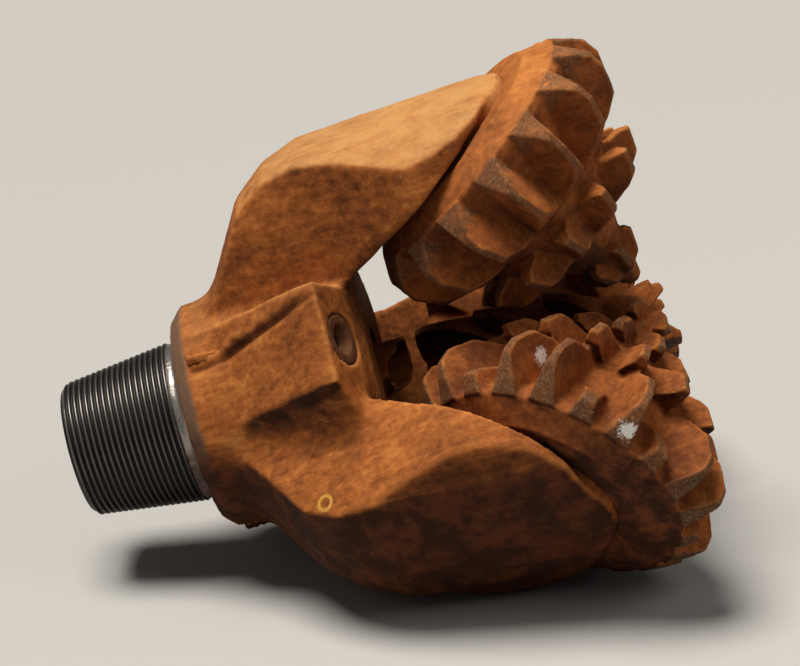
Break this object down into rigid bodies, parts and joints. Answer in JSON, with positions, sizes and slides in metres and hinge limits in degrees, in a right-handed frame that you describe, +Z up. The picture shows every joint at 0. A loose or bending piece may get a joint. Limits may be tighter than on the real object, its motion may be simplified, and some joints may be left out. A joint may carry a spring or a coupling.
{
  "type": "rotary rock drill bit",
  "caption": "Large rock drill bit with milled-tooth rolling cones on welded legs and a tapered threaded pin, lying on its side, rusty.",
  "frame": {"origin": "centre of the bounding box at its bottom, on the floor", "axes": "+X along the bit towards its cones, with the bit's axis rising at its rest angle; +Y away from the viewer of the pictured side; +Z up"},
  "size_m": [0.682, 0.5676, 0.5491],
  "materials": {
    "forged_steel": "rusty forged steel",
    "cone_steel": "rusty steel with grey-brown hard facing on the teeth",
    "nozzle_steel": "dark rusty steel",
    "weld": "rusty weld bead"
  },
  "bodies": {
    "bit_body": {"leg_top": "forged_steel", "leg_front": "forged_steel", "leg_back": "forged_steel", "nozzle_top": "nozzle_steel", "nozzle_front": "nozzle_steel", "nozzle_back": "nozzle_steel", "seam_top": "weld", "seam_front": "weld", "seam_back": "weld", "centre_jet": "nozzle_steel"},
    "cone_top": {"cone_top": "cone_steel"},
    "cone_front": {"cone_front": "cone_steel"},
    "cone_back": {"cone_back": "cone_steel"}
  },
  "joints": [
    {"name": "cone_top_turn", "type": "hinge", "parent": "bit_body", "child": "cone_top", "pos_m": [0.12803, -0.00004, 0.42342], "axis": [-0.7434, 0, 0.6689], "continuous": true},
    {"name": "cone_front_turn", "type": "hinge", "parent": "bit_body", "child": "cone_front", "pos_m": [0.18616, -0.16118, 0.15043], "axis": [-0.4907, -0.7006, -0.518], "continuous": true},
    {"name": "cone_back_turn", "type": "hinge", "parent": "bit_body", "child": "cone_back", "pos_m": [0.18616, 0.16111, 0.15043], "axis": [-0.4907, 0.7006, -0.518], "continuous": true}
  ]
}
